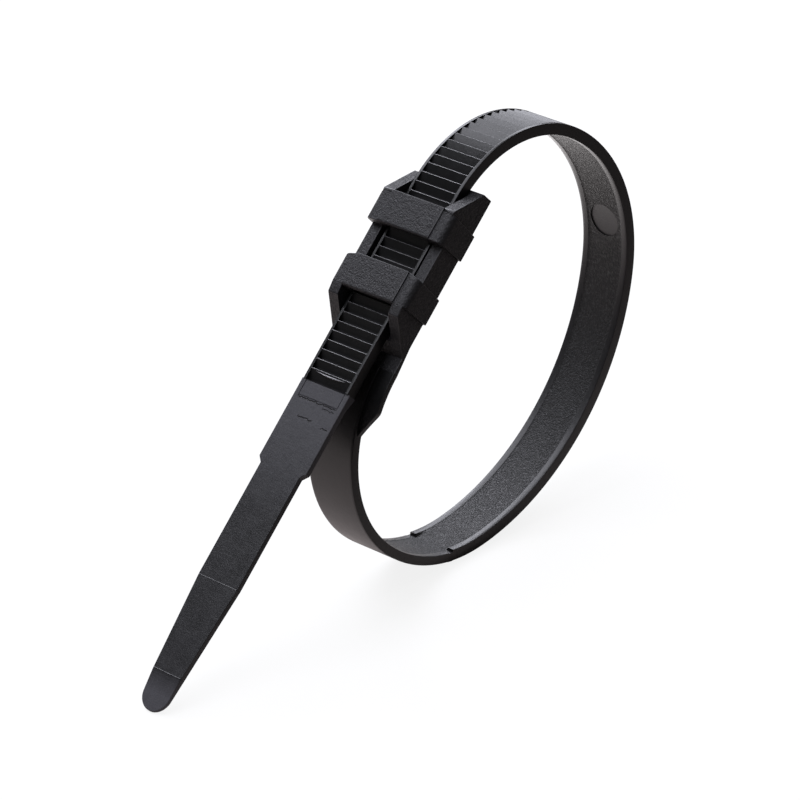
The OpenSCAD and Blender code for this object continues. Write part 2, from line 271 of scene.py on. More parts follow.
def stood_up(loop, tail):
    """Matrix from the flat tie in millimetres to the tie as it stands, in metres."""
    tip = Vector((-mm(tail.length), -mm(tail.drop + tail.thickness)))
    span = loop.centres[LOW_ARC] - tip
    lean = atan2(span.x, span.y) - acos(RADII[LOW_ARC] / span.length)
    low = loop.centres[LOW_ARC]
    floor = low.x * sin(lean) + low.y * cos(lean) - RADII[LOW_ARC]
    far = loop.at_turn(pi / 2 + lean, 0)
    tip_top = tip + Vector((0, mm(tail.tip_thickness)))
    middle = sum(p.x * cos(lean) - p.y * sin(lean) for p in (far, tip_top)) / 2
    return (
        Matrix.Scale(0.001, 4)
        @ Matrix.Translation((-middle, 0, -floor))
        @ Matrix.Rotation(-lean, 4, "Y")
    )


def current():
    """The sizes of the scene, its loop and the matrix that stands the tie up."""
    scene = bpy.context.scene
    loop = Loop(mm(scene.tie_strap.thickness) / 2)
    return scene, loop, stood_up(loop, scene.tie_tail)


# Modelling

def block(low, high):
    """A new mesh with one box between two corners."""
    low, high = Vector(low), Vector(high)
    bm = bmesh.new()
    bmesh.ops.create_cube(bm, size=1)
    bmesh.ops.scale(bm, vec=high - low, verts=bm.verts)
    bmesh.ops.translate(bm, vec=(high + low) / 2, verts=bm.verts)
    return bm


def plate_of(points, axis, start, end):
    """A new mesh with an outline pulled along an axis from start to end."""
    bm = bmesh.new()
    corners = []
    for a, b in points:
        at = [a, b]
        at.insert(axis, start)
        corners.append(bm.verts.new(at))
    face = bm.faces.new(corners)
    pull(bm, [face], axis, end - start, keep=True)
    bmesh.ops.recalc_face_normals(bm, faces=bm.faces)
    return bm


def pull(bm, faces, axis, by, keep=False):
    """Extrudes faces along an axis and returns the new corners."""
    grown = bmesh.ops.extrude_face_region(bm, geom=faces)["geom"]
    if not keep:
        bmesh.ops.delete(bm, geom=faces, context="FACES")
    corners = [g for g in grown if isinstance(g, bmesh.types.BMVert)]
    step = Vector((0, 0, 0))
    step[axis] = by
    bmesh.ops.translate(bm, vec=step, verts=corners)
    return corners


def cut(bm, axis, *places):
    """Cuts the mesh across an axis at each place."""
    for place in places:
        normal = Vector((0, 0, 0))
        normal[axis] = 1
        bmesh.ops.bisect_plane(
            bm, geom=bm.verts[:] + bm.edges[:] + bm.faces[:], dist=NEAR,
            plane_co=normal * place, plane_no=normal,
        )


def trim(bm, point, outward):
    """Cuts off what lies beyond a plane and closes the cut."""
    made = bmesh.ops.bisect_plane(
        bm, geom=bm.verts[:] + bm.edges[:] + bm.faces[:], dist=NEAR,
        plane_co=point, plane_no=outward, clear_outer=True,
    )["geom_cut"]
    bmesh.ops.edgenet_fill(bm, edges=[g for g in made if isinstance(g, bmesh.types.BMEdge)])


def faces_at(bm, test):
    """Faces whose middle passes a test on x, y and z."""
    return [f for f in bm.faces if test(*f.calc_center_median())]


def edges_at(bm, test):
    """Edges both of whose ends pass a test on x, y and z."""
    return [e for e in bm.edges if all(test(*v.co) for v in e.verts)]


def edges_along(bm, axis, test):
    """Edges that run along an axis and both of whose ends pass a test."""
    return [e for e in edges_at(bm, test) if not near(e.verts[0].co[axis], e.verts[1].co[axis])]


def near(a, b):
    """Whether two numbers are the same place."""
    return abs(a - b) < 1e-3


def soften(bm, edges, width, segments=2):
    """Rounds edges and returns the faces that this makes."""
    return bmesh.ops.bevel(
        bm, geom=edges, offset=width, segments=segments, profile=0.5, affect="EDGES",
        material=-1, clamp_overlap=False, offset_type="OFFSET",
    )["faces"]


def soften_corners(bm, width, segments=2, test=None, sharper=40):
    """Rounds every outward edge that turns by more than an angle and passes a test."""
    edges = [
        e for e in bm.edges
        if len(e.link_faces) == 2 and e.is_convex and e.calc_face_angle() > radians(sharper)
        and (test is None or test(*((e.verts[0].co + e.verts[1].co) / 2)))
    ]
    soften(bm, edges, width, segments)


def mirror_across(bm):
    """Adds the other half of a piece, beyond its middle plane."""
    middle = faces_at(bm, lambda x, y, z: near(y, 0))
    bmesh.ops.delete(bm, geom=middle, context="FACES")
    bmesh.ops.mirror(bm, geom=bm.verts[:] + bm.edges[:] + bm.faces[:], axis="Y", merge_dist=NEAR)
    bmesh.ops.recalc_face_normals(bm, faces=bm.faces)


def take_in(bm, *parts):
    """Adds the meshes of parts to a mesh."""
    for part in parts:
        mesh = bpy.data.meshes.new("part")
        part.to_mesh(mesh)
        part.free()
        bm.from_mesh(mesh)
        bpy.data.meshes.remove(mesh)
    return bm


def wear_and_sheen_edges(bm, width):
    """Gives the faces of rounded edges, which are narrower than a width, the second finish, whose lighter
    colour paints edge highlights.
    """
    for face in bm.faces:
        if 2 * face.calc_area() / face.calc_perimeter() < width:
            face.material_index = 1


def finished(bm, name, finishes, matrix, loop=None, sharper=35):
    """Bends a flat piece along the loop, stands it up and hands it over as an object."""
    if loop:
        for v in bm.verts:
            v.co.x, v.co.z = loop.point(v.co.x, v.co.z)
    bmesh.ops.transform(bm, matrix=matrix, verts=bm.verts)
    bmesh.ops.recalc_face_normals(bm, faces=bm.faces)
    for face in bm.faces:
        face.smooth = True
    for edge in bm.edges:
        edge.smooth = len(edge.link_faces) == 2 and edge.calc_face_angle() < radians(sharper)
    mesh = bpy.data.meshes.new(name)
    bm.to_mesh(mesh)
    bm.free()
    for material in finishes:
        mesh.materials.append(material)
    piece = bpy.data.objects.new(name, mesh)
    bpy.context.scene.collection.objects.link(piece)
    even = piece.modifiers.new("Even shading", "WEIGHTED_NORMAL")
    even.keep_sharp = True
    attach(piece, BODY)
    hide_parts(NODE)
    return piece


# Finishes

class Wire:
    """A shader socket whose sums and products add Math nodes."""

    def __init__(self, finish, socket):
        self.finish = finish
        self.socket = socket

    def math(self, operation, a, b):
        return self.finish.node("ShaderNodeMath", {"operation": operation}, {0: a, 1: b})

    def __add__(self, other):
        return self.math("ADD", self, other)

    __radd__ = __add__

    def __mul__(self, other):
        return self.math("MULTIPLY", self, other)

    __rmul__ = __mul__

    def __sub__(self, other):
        return self.math("SUBTRACT", self, other)

    def __rsub__(self, other):
        return self.math("SUBTRACT", other, self)


class Finish:
    """The nodes of a material or of the world."""

    def __init__(self, owner):
        owner.use_nodes = True
        self.nodes = owner.node_tree.nodes
        self.links = owner.node_tree.links

    def node(self, kind, settings=None, sockets=None, out=0):
        """A node with its settings, the values or links of its sockets, and one of its outputs."""
        made = self.nodes.new(kind)
        for name, value in (settings or {}).items():
            setattr(made, name, value)
        for key, value in (sockets or {}).items():
            self.feed(made.inputs[key], value)
        return Wire(self, made.outputs[out])

    def feed(self, socket, value):
        """Sets a socket or links a wire to it."""
        if isinstance(value, Wire):
            self.links.new(value.socket, socket)
        else:
            socket.default_value = value

    def surface(self, **sockets):
        """Sets or links sockets of the surface, named with _ for a space."""
        for name, value in sockets.items():
            self.feed(self.nodes["Principled BSDF"].inputs[name.replace("_", " ")], value)

    def place(self):
        """Place on the piece, in millimetres."""
        where = self.node("ShaderNodeTexCoord", out="Object")
        return self.stretched(where, (1000, 1000, 1000))

    def place_flat(self):
        """Place on the flat tie, in millimetres: along the head, across it and outwards."""
        matrix = current()[2].inverted()
        where = self.node("ShaderNodeTexCoord", out="Object")
        sockets = {
            "Vector": where, "Location": matrix.to_translation(),
            "Rotation": matrix.to_euler(), "Scale": (1000, 1000, 1000),
        }
        return self.node("ShaderNodeMapping", {}, sockets, "Vector")

    def stretched(self, where, scale):
        """A place drawn out or pressed together."""
        return self.node("ShaderNodeMapping", {}, {"Vector": where, "Scale": scale}, "Vector")

    def part(self, where, axis):
        """One coordinate of a place."""
        return self.node("ShaderNodeSeparateXYZ", {}, {"Vector": where}, axis)

    def cloud(self, where, scale, detail=2, roughness=0.5):
        """Soft noise from 0 to 1."""
        sockets = {"Vector": where, "Scale": scale, "Detail": detail, "Roughness": roughness}
        return self.node("ShaderNodeTexNoise", {}, sockets)

    def ramp(self, value, low, high):
        """A value drawn out from 0 at low to 1 at high."""
        return self.node(
            "ShaderNodeMapRange", {"clamp": True},
            {"Value": value, "From Min": low, "From Max": high},
        )

    def blend(self, mask, first, second):
        """A colour between two, of which each is a plain colour or a wire, by a mask."""
        first, second = (c if isinstance(c, Wire) else (*c, 1) for c in (first, second))
        return self.node("ShaderNodeMix", {"data_type": "RGBA"}, {0: mask, 6: first, 7: second}, 2)

    def size_of(self, value):
        """A value without its sign."""
        return self.node("ShaderNodeMath", {"operation": "ABSOLUTE"}, {0: value})

    def bump(self, height, distance_mm):
        """A normal from a height, with the distance that a height of 1 stands for."""
        sockets = {"Height": height, "Distance": distance_mm / 1000, "Strength": 1.0}
        return self.node("ShaderNodeBump", {}, sockets, "Normal")


def tinted(color, factor):
    """A colour made lighter or darker."""
    return tuple(min(1.0, c * factor) for c in color)


def finish(fill):
    """Turns a function that fills in a material into one that makes it once, named after it."""

    @wraps(fill)
    def material():
        name = fill.__name__.replace("_", " ")
        if name not in bpy.data.materials:
            fill(Finish(bpy.data.materials.new(name)))
        return bpy.data.materials[name]

    return material


@finish
def smooth_nylon(f):
    """Smooth moulded nylon of the teeth, rims and pawls."""
    color = bpy.context.scene.tie_finish.smooth
    where = f.place()
    patch = f.cloud(where, 0.35, 3)
    mottle = f.cloud(where, 1.3, 3, 0.65)
    fine = f.cloud(where, 6, 2)
    f.surface(
        Base_Color=f.blend(0.6 * patch + 0.4 * mottle, tinted(color, 0.5), tinted(color, 1.9)),
        Roughness=0.2 + 0.1 * patch + 0.08 * fine + 0.06 * mottle,
        Normal=f.bump(fine + 2 * mottle, 0.006),
    )


@finish
def grained_nylon(f):
    """Finely spark-eroded nylon of the head."""
    finishes = bpy.context.scene.tie_finish
    color = finishes.grained
    where = f.place()
    per_mm = 1 / mm(finishes.grain)
    patch = f.cloud(where, 0.4, 4, 0.65)
    mottle = f.cloud(where, 0.4 * per_mm, 3, 0.65)
    grain = f.cloud(where, per_mm, 2, 0.6)
    fleck = f.ramp(f.cloud(where, 0.9 * per_mm, 1), 0.5, 0.75)
    f.surface(
        Base_Color=f.blend(0.4 * fleck + 0.3 * patch + 0.3 * mottle, tinted(color, 0.4), tinted(color, 1.9)),
        Roughness=0.5 - 0.12 * fleck + 0.16 * mottle,
        Normal=f.bump(grain + 0.9 * mottle + 0.4 * f.cloud(where, 2.2 * per_mm, 1), 0.12),
    )


@finish
def frosted_nylon(f):
    """Coarse frosted nylon of the strap's inner floor."""
    finishes = bpy.context.scene.tie_finish
    color = finishes.frosted
    where = f.place()
    per_mm = 1 / mm(finishes.grain)
    patch = f.cloud(where, 0.25, 3)
    grain = f.cloud(where, 0.85 * per_mm, 2, 0.6)
    fleck = f.ramp(f.cloud(where, 0.75 * per_mm, 2), 0.48, 0.68)
    f.surface(
        Base_Color=f.blend(0.75 * fleck + 0.25 * patch, tinted(color, 0.2), tinted(color, 1.5)),
        Roughness=0.58 - 0.12 * fleck + 0.06 * patch,
        Normal=f.bump(grain + 0.5 * f.cloud(where, 1.7 * per_mm, 1), 0.11),
    )


@finish
def satin_nylon(f):
    """Even satin nylon of the inner edge bands and the round moulding mark."""
    color = bpy.context.scene.tie_finish.frosted
    where = f.place()
    patch = f.cloud(where, 0.5, 3)
    fine = f.cloud(where, 5, 2)
    f.surface(
        Base_Color=f.blend(patch, tinted(color, 1.2), tinted(color, 1.8)),
        Roughness=0.3 + 0.1 * patch,
        Normal=f.bump(fine, 0.02),
    )


@finish
def crest_highlight_nylon(f):
    """Light nylon on the crests of the teeth and the bead: painted highlight lines and painted glint, over
    some whitening by flexing.
    """
    color = bpy.context.scene.tie_finish.crest
    rub_and_sheen = f.cloud(f.place(), 0.9, 3, 0.6)
    f.surface(Base_Color=f.blend(rub_and_sheen, tinted(color, 0.6), tinted(color, 1.4)), Roughness=0.22 + 0.12 * rub_and_sheen)


@finish
def worn_and_sheen_nylon(f):
    """Moulded edges of the head, polished by handling, with a lighter colour that paints their highlights."""
    color = bpy.context.scene.tie_finish.grained
    where = f.place()
    rub_and_sheen = f.cloud(where, 1.1, 3, 0.6)
    f.surface(
        # The lighter colour is a painted edge highlight; the lower roughness is polish from handling
        Base_Color=f.blend(rub_and_sheen, tinted(color, 0.9), tinted(color, 1.8)),
        Roughness=0.42 - 0.2 * rub_and_sheen,
        Normal=f.bump(f.cloud(where, 4, 2), 0.02),
    )


# Place along the tail, middle across it, half length and half width of each flow line
FLOW_LINES = ((-4.6, 0, 4, 0.11), (-5.1, -2.6, 1.2, 0.09), (-7.4, 0.6, 1.5, 0.12), (-7.9, -3.6, 0.7, 0.09))


@finish
def tail_nylon(f):
    """Flat nylon of the tail, with faint flow lines along it, and painted light that makes it lighter near
    the head and on the tip's bevel.
    """
    tail = bpy.context.scene.tie_tail
    color = bpy.context.scene.tie_finish.tail
    flat = f.place_flat()
    along = f.part(flat, X)
    across = f.part(flat, Y)
    streak = f.cloud(f.stretched(flat, (0.12, 1.6, 1.0)), 1.2, 4, 0.6)
    ripple = f.cloud(f.stretched(flat, (1.5, 0.1, 1.0)), 1.2, 4, 0.7)
    patch = f.cloud(flat, 0.3, 4, 0.6)
    fine = f.cloud(flat, 4, 2)
    # Painted light: the colour is made lighter near the grip and on the tip's bevel, standing in for the
    # brighter light they reflect
    grip_end, bevel_start = -mm(tail.grip_length), mm(tail.length - tail.bevel)
    grip_painted_light = f.ramp(along, grip_end - 8, grip_end + 8)
    tip = f.ramp(-1 * along, bevel_start - 0.5, bevel_start + 3)
    painted_light = f.node("ShaderNodeMath", {"operation": "MAXIMUM"}, {0: 0.4 * grip_painted_light, 1: 0.58 * tip})
    # Dark lines where the nylon flowed together, at a place along the tail and within a width
    wobble = f.cloud(f.stretched(flat, (0.0, 1.1, 0.0)), 1, 4, 0.7)
    seams = None
    for at, middle, reach, width in FLOW_LINES:
        off = f.size_of(along - at + 1.2 * (wobble - 0.5))
        side = f.size_of(across - middle)
        seam = (1 - f.ramp(off, 0.3 * width, width)) * (1 - f.ramp(side, 0.9 * reach, reach))
        seams = seam if seams is None else seams + seam
    # The tail's tone carries the painted light of the grip and the tip
    tone_and_painted_light = 0.08 * streak + 0.04 * ripple + 0.14 * patch + painted_light - 0.05
    f.surface(
        Base_Color=f.blend(tone_and_painted_light - seams, tinted(color, 0.2), tinted(color, 7.0)),
        Roughness=0.26 + 0.1 * streak + 0.05 * ripple + 0.13 * patch + 0.3 * painted_light + 0.3 * seams,
        Normal=f.bump(0.7 * streak + 0.25 * ripple + patch + 0.3 * fine - 9 * seams, 0.07),
    )


# Pieces

# Places of the strap's finishes in its list, after the smooth one; the crest's finish is a painted highlight
FROSTED, SATIN, CREST_HIGHLIGHT = 1, 2, 3
# Rounding of the edge bands beside their height
BAND_ROUND = 0.6
MARK_SIDES = 40
# How far past the mark the middles of the faces lie that its outline may cut
MARK_MARGIN = 0.7


def strap_box(strap, start, end, thickness):
    """A straight stretch of strap, cut along the rims and edge bands."""
    half = mm(strap.width) / 2
    bm = block((start, -half, -thickness), (end, half, 0))
    inner = half - mm(strap.band)
    for side in (-1, 1):
        cut(bm, Y, side * (half - mm(strap.rim)), side * inner)
    return bm


def sink_floor(bm, strap, thickness):
    """Sinks the inner floor between the edge bands, with a slope along each."""
    inner = mm(strap.width) / 2 - mm(strap.band)
    floor = faces_at(bm, lambda x, y, z: near(z, -thickness) and abs(y) < inner)
    sunk = pull(bm, floor, Z, mm(strap.band_height))
    bmesh.ops.scale(bm, vec=(1, 1 - mm(strap.band_slope) / inner, 1), verts=sunk)


def open_ends(bm, *places):
    """Takes away the ends of a stretch, so that its long edges can be rounded right through."""
    ends = faces_at(bm, lambda x, y, z: any(near(x, place) for place in places))
    bmesh.ops.delete(bm, geom=ends, context="FACES")


def close_ends(bm):
    """Closes every hole of a stretch again."""
    bmesh.ops.holes_fill(bm, edges=bm.edges[:], sides=0)


def round_strap_edges(bm, strap, thickness):
    """Rounds the long edges of a stretch of strap."""
    half = mm(strap.width) / 2
    inner = half - mm(strap.band)
    sides = edges_along(bm, X, lambda x, y, z: near(abs(y), half))
    corners = [e for e in sides if near(e.verts[0].co.z, 0) or near(e.verts[0].co.z, -thickness)]
    soften(bm, corners, mm(strap.edge))
    band_edges = edges_along(bm, X, lambda x, y, z: near(abs(y), inner) and near(z, -thickness))
    soften(bm, band_edges, BAND_ROUND * mm(strap.band_height))


def sink_gap(bm, strap, start, end, depth):
    """Sinks the gap of a tooth: square at its start, rising evenly to its end."""
    toothed = mm(strap.width) / 2 - mm(strap.rim)
    gap = faces_at(bm, lambda x, y, z: near(z, 0) and start < x < end and abs(y) < toothed)
    for corner in pull(bm, gap, Z, 0):
        corner.co.z -= depth * (end - corner.co.x) / (end - start)
    bmesh.ops.remove_doubles(bm, verts=bm.verts, dist=NEAR)


def tooth_cell(strap):
    """One tooth: a narrow crest and the gap behind it."""
    pitch, crest, thickness = mm(strap.pitch), mm(strap.crest), mm(strap.thickness)
    toothed = mm(strap.width) / 2 - mm(strap.rim)
    bm = strap_box(strap, 0, pitch, thickness)
    cut(bm, X, crest, (crest + pitch) / 2)
    sink_gap(bm, strap, crest, pitch, mm(strap.depth))
    sink_floor(bm, strap, thickness)
    open_ends(bm, 0, pitch)
    round_strap_edges(bm, strap, thickness)
    brow = edges_at(bm, lambda x, y, z: near(x, crest) and near(z, 0) and abs(y) < toothed + NEAR)
    # The brow's rounding takes the light crest finish, a painted highlight line
    for face in soften(bm, brow, mm(strap.crest_round), 3):
        face.material_index = CREST_HIGHLIGHT
    return bm


def toothed_stretch(strap):
    """All the teeth in a row."""
    bm = tooth_cell(strap)
    cell = bm.verts[:] + bm.edges[:] + bm.faces[:]
    for k in range(1, strap.teeth):
        copy = bmesh.ops.duplicate(bm, geom=cell)["geom"]
        corners = [g for g in copy if isinstance(g, bmesh.types.BMVert)]
        bmesh.ops.translate(bm, vec=(k * mm(strap.pitch), 0, 0), verts=corners)
    bmesh.ops.remove_doubles(bm, verts=bm.verts, dist=NEAR)
    close_ends(bm)
    return bm


def first_gap(strap):
    """The longer gap beside the tail."""
    lead, depth, thickness = mm(strap.lead), mm(strap.depth), mm(strap.thickness)
    bm = strap_box(strap, -lead, 0, thickness)
    cut(bm, X, -lead / 2)
    cut(bm, Z, -depth)
    sink_gap(bm, strap, -lead, 0, depth)
    sink_floor(bm, strap, thickness)
    open_ends(bm, -lead, 0)
    round_strap_edges(bm, strap, thickness)
    close_ends(bm)
    return bm


def plain_run(strap, start, end, thickness, bands=True, step=0.8):
    """A stretch of strap without teeth, with or without its edge bands."""
    bm = strap_box(strap, start, end, thickness)
    if bands:
        sink_floor(bm, strap, thickness)
        open_ends(bm, start, end)
        round_strap_edges(bm, strap, thickness)
        close_ends(bm)
    pieces = max(1, round((end - start) / step))
    cut(bm, X, *[start + (end - start) * k / pieces for k in range(1, pieces)])
    return bm


def last_run(strap, start, end):
    """The stretch behind the teeth, whose inner floor slopes down to the break in the edge bands."""
    thickness, band = mm(strap.thickness), mm(strap.band_height)
    bm = plain_run(strap, start, end, thickness)
    inner = mm(strap.width) / 2 - mm(strap.band)
    for v in bm.verts:
        if near(v.co.z, band - thickness) and abs(v.co.y) < inner + NEAR:
            v.co.z += (thickness - mm(strap.plain)) * (v.co.x - start) / (end - start)
    return bm


def sink_mark(bm, strap, at):
    """Sinks the round moulding mark into the inner floor, a length along the strap."""
    radius = mm(strap.mark) / 2
    middle = Vector((at, 0, mm(strap.band_height) - mm(strap.thickness)))

    def floor_within(reach):
        return faces_at(bm, lambda x, y, z: near(z, middle.z) and (Vector((x, y, z)) - middle).length < reach)

    around = floor_within(radius + MARK_MARGIN)
    geom = around + list({e for f in around for e in f.edges}) + list({v for f in around for v in f.verts})
    for k in range(MARK_SIDES):
        turn = 2 * pi * k / MARK_SIDES
        outward = Vector((cos(turn), sin(turn), 0))
        geom = bmesh.ops.bisect_plane(
            bm, geom=geom, dist=NEAR, plane_co=middle + radius * outward, plane_no=outward,
        )["geom"]
    sunk = floor_within(radius)
    for face in sunk:
        face.material_index = SATIN
    pull(bm, sunk, Z, mm(strap.mark_depth))


class TIE_OT_strap(Operator):
    """Models the strap: teeth, rims, inner floor, edge bands, moulding mark and the plain stretch"""

    bl_idname = "tie.strap"
    bl_label = "Strap"

    def execute(self, context):
        scene, loop, matrix = current()
        strap = scene.tie_strap
        teeth_end = strap.teeth * mm(strap.pitch)
        break_start = mm(strap.teeth_end) - mm(strap.notch) / 2
        break_end = mm(strap.teeth_end) + mm(strap.notch) / 2
        plain_floor = mm(strap.plain) - mm(strap.band_height)
        bm = take_in(
            bmesh.new(), toothed_stretch(strap), first_gap(strap), last_run(strap, teeth_end, break_start),
            plain_run(strap, break_start, break_end, plain_floor, bands=False),
            plain_run(strap, break_end, loop.starts[-1], mm(strap.plain)),
        )
        inner = mm(strap.width) / 2 - mm(strap.band)
        for face in faces_at(bm, lambda x, y, z: z < NEAR - plain_floor):
            face.material_index = FROSTED if abs(face.calc_center_median().y) < inner - NEAR else SATIN
        sink_mark(bm, strap, loop.length_at(strap.mark_turn))
        finished(bm, "strap", [smooth_nylon(), frosted_nylon(), satin_nylon(), crest_highlight_nylon()], matrix, loop)
        return {"FINISHED"}


# Direction that the bead's broad face has on the standing tie
BEAD_FACING = (-0.07, 0, 1)
# Cuts across half the bead, and how thick its ends are beside its middle
BEAD_CUTS = 10
BEAD_END = 0.02


class TIE_OT_bead(Operator):
    """Models the smooth bead across the first gap, beside the tail"""

    bl_idname = "tie.bead"
    bl_label = "Bead"

    def execute(self, context):
        scene, loop, matrix = current()
        strap = scene.tie_strap
        half, wide = mm(strap.bead) / 2, mm(strap.bead_width)
        # A ridge on the slope of the gap, with one face nearly level when the tie stands
        foot = Vector((-mm(strap.bead_inset), -mm(strap.bead_sink)))
        level = (matrix.inverted().to_3x3() @ Vector(BEAD_FACING)).normalized()
        back = foot + wide * Vector((-level.z, level.x))
        base = -wide
        bm = plate_of([foot, back, (back.x + base / 3, base), (foot.x, base)], Y, -half, half)
        cut(bm, Y, *[half * k / BEAD_CUTS for k in range(1 - BEAD_CUTS, BEAD_CUTS)])
        for v in bm.verts:
            share = max(BEAD_END, 1 - (v.co.y / half) ** 2)
            v.co.x = foot.x + share * (v.co.x - foot.x)
            v.co.z = foot.y + share * (v.co.z - foot.y)
        # The bead's light crest finish is a painted glint
        finished(bm, "bead", [crest_highlight_nylon()], matrix)
        return {"FINISHED"}


# How far the neck reaches past the strap's inner face, and how many pieces its bend has
NECK_SKIN = 0.02
NECK_PIECES = 14


class TIE_OT_neck(Operator):
    """Models the flange that follows the bend into the head"""

    bl_idname = "tie.neck"
    bl_label = "Neck"

    def execute(self, context):
        scene, loop, matrix = current()
        strap, head = scene.tie_strap, scene.tie_head
        end = loop.starts[-1]
        radius = RADII[-1] - loop.middle
        wide, slim = (end - radius * radians(a) for a in FLANGE_TURNS)
        slim_share = (mm(strap.width) - 2 * mm(strap.edge)) / mm(head.width)
        bottom = mm(strap.plain) + NECK_SKIN
        half = mm(head.width) / 2
        bm = block((slim, -half, -bottom), (end, half, -FLANGE_STEP))
        cut(bm, X, wide, *[slim + (end - slim) * k / NECK_PIECES for k in range(1, NECK_PIECES)])
        for v in bm.verts:
            if v.co.x < wide:
                share = (wide - v.co.x) / (wide - slim)
                v.co.y *= 1 + share * (slim_share - 1)
        soften_corners(bm, mm(head.edge), test=lambda x, y, z: x < end - NEAR and not near(y, 0))
        finished(bm, "neck", [smooth_nylon()], matrix, loop)
        return {"FINISHED"}


def slope_point(low, high, z):
    """Place along the head where a slope between two points is at a height."""
    return low[0] + (high[0] - low[0]) * (z - low[1]) / (high[1] - low[1])


def head_base(head, strap):
    """The base with its channel, rails, and the raised walls at the exit and the entry."""
    bottom, channel = -mm(head.depth), -mm(head.channel_depth)
    end, rail, top = mm(head.length), mm(head.rail), mm(head.shoulder)
    exit_x = mm(head.exit_bridge)
    exit_wall = exit_x + mm(head.buried) / 2
    entry_wall = mm(head.entry_bridge) + mm(head.pad_length) + mm(head.buried) / 2
    foot = (mm(head.exit_foot), NECK[1] - FLANGE_STEP)
    lip = (exit_x - mm(head.exit_lip), top - mm(head.lip_drop))
    brow = (end - mm(head.entry_run), top)
    heel = (end, -mm(head.heel))
    half, inner = mm(head.width) / 2, mm(head.channel) / 2
    bm = plate_of(
        [
            (NECK[0], NECK[1] - mm(strap.plain)), (mm(head.underside), bottom), (end, bottom), heel,
            (slope_point(heel, brow, channel), channel), (slope_point(foot, lip, channel), channel),
            foot, (NECK[0], foot[1]),
        ],
        Y, 0, inner,
    )
    pull(bm, faces_at(bm, lambda x, y, z: near(y, inner)), Y, half - inner)

    def wall(faces, height):
        """Raises part of a wall, whose ends stay on the slopes of the exit and the entry."""
        for corner in pull(bm, faces, Z, 0):
            if near(corner.co.x, slope_point(foot, lip, corner.co.z)):
                corner.co.x = slope_point(foot, lip, min(height, lip[1]))
                corner.co.z = min(height, lip[1])
            elif near(corner.co.x, slope_point(heel, brow, corner.co.z)):
                corner.co.x = slope_point(heel, brow, height)
                corner.co.z = height
            else:
                corner.co.z = height

    wall(faces_at(bm, lambda x, y, z: near(z, channel) and y > inner), rail)
    cut(bm, X, exit_wall, entry_wall)
    wall(faces_at(bm, lambda x, y, z: near(z, rail) and x < exit_wall), top)
    wall(faces_at(bm, lambda x, y, z: near(z, rail) and x > entry_wall), top)
    bmesh.ops.dissolve_limit(bm, angle_limit=radians(0.5), verts=bm.verts, edges=bm.edges)
    soften_corners(bm, mm(head.edge), test=lambda x, y, z: not near(y, 0) and x > NECK[0] + NEAR)
    mirror_across(bm)
    return bm


def bridge(head, strap, start):
    """One bridge: flat plate, rounded shoulders and pads down both sides."""
    long, half = mm(head.bridge), mm(head.width) / 2 + mm(head.pad)
    top, plate, plate_half = mm(head.shoulder), mm(head.plate), mm(head.plate_width) / 2
    gap, bottom = mm(head.gap), -mm(head.depth)
    inside = mm(head.width) / 2 - mm(head.buried)
    free = mm(strap.width) / 2 - gap
    ceiling = gap + mm(head.pawl) + gap
    bm = plate_of(
        [
            (0, plate), (plate_half, plate), (plate_half, top), (half, top), (half, bottom),
            (inside, bottom), (inside, gap), (free, gap), (free, ceiling), (0, ceiling),
        ],
        X, start, start + long,
    )
    shoulder = edges_along(bm, X, lambda x, y, z: near(y, half) and near(z, top))
    soften(bm, shoulder, mm(head.shoulder_round), 5)
    brow = edges_at(bm, lambda x, y, z: near(x, start) and near(z, plate))
    soften(bm, brow, mm(head.plate_round), 3)
    pad_end = start + mm(head.pad_length)
    slant = Vector((half - plate_half, start + long - pad_end, 0))
    trim(bm, (pad_end, half, 0), slant)
    for v in bm.verts:
        if v.co.z < gap - NEAR and v.co.x > start + long / 2:
            v.co.x = min(v.co.x, pad_end) - mm(head.pad_taper)
    outside = mm(head.width) / 2
    low = top - mm(head.lip_drop)
    soften_corners(bm, mm(head.edge), test=lambda x, y, z: not near(y, 0) and (y > outside or z > low))
    mirror_across(bm)
    return bm


class TIE_OT_head(Operator):
    """Models the head: base, rails, sloped ends and the two bridges"""

    bl_idname = "tie.head"
    bl_label = "Head"

    def execute(self, context):
        scene, loop, matrix = current()
        head, strap = scene.tie_head, scene.tie_strap
        pieces = {
            "head_base": head_base(head, strap),
            "exit_bridge": bridge(head, strap, mm(head.exit_bridge)),
            "entry_bridge": bridge(head, strap, mm(head.entry_bridge)),
        }
        for name, bm in pieces.items():
            wear_and_sheen_edges(bm, mm(head.edge))
            finished(bm, name, [grained_nylon(), worn_and_sheen_nylon()], matrix)
        return {"FINISHED"}


